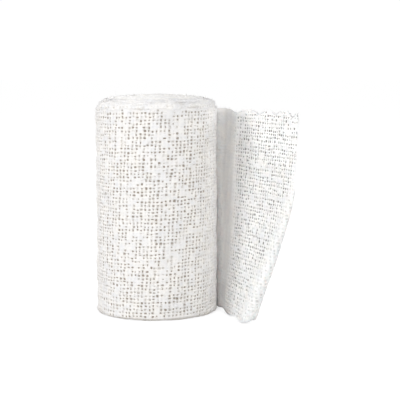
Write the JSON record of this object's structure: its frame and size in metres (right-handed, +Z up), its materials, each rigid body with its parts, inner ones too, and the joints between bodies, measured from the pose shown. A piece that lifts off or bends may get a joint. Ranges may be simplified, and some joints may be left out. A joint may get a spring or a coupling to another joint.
{
  "type": "plaster bandage roll",
  "caption": "Roll of plaster-coated gauze bandage standing on its end, with one loose end drawn off at its right and its lower corner folded back.",
  "frame": {"origin": "on the roll's axis, at the surface that it stands on", "axes": "+Z up along the roll's axis, +X towards the side where the loose end leaves, -Y towards the front that the loose end comes to"},
  "size_m": [0.0947, 0.0846, 0.1061],
  "materials": {
    "plaster_gauze": "open-weave gauze filled with dry white plaster, matt"
  },
  "bodies": {
    "root": {"wound_roll": "plaster_gauze", "loose_end": "plaster_gauze"}
  },
  "joints": []
}
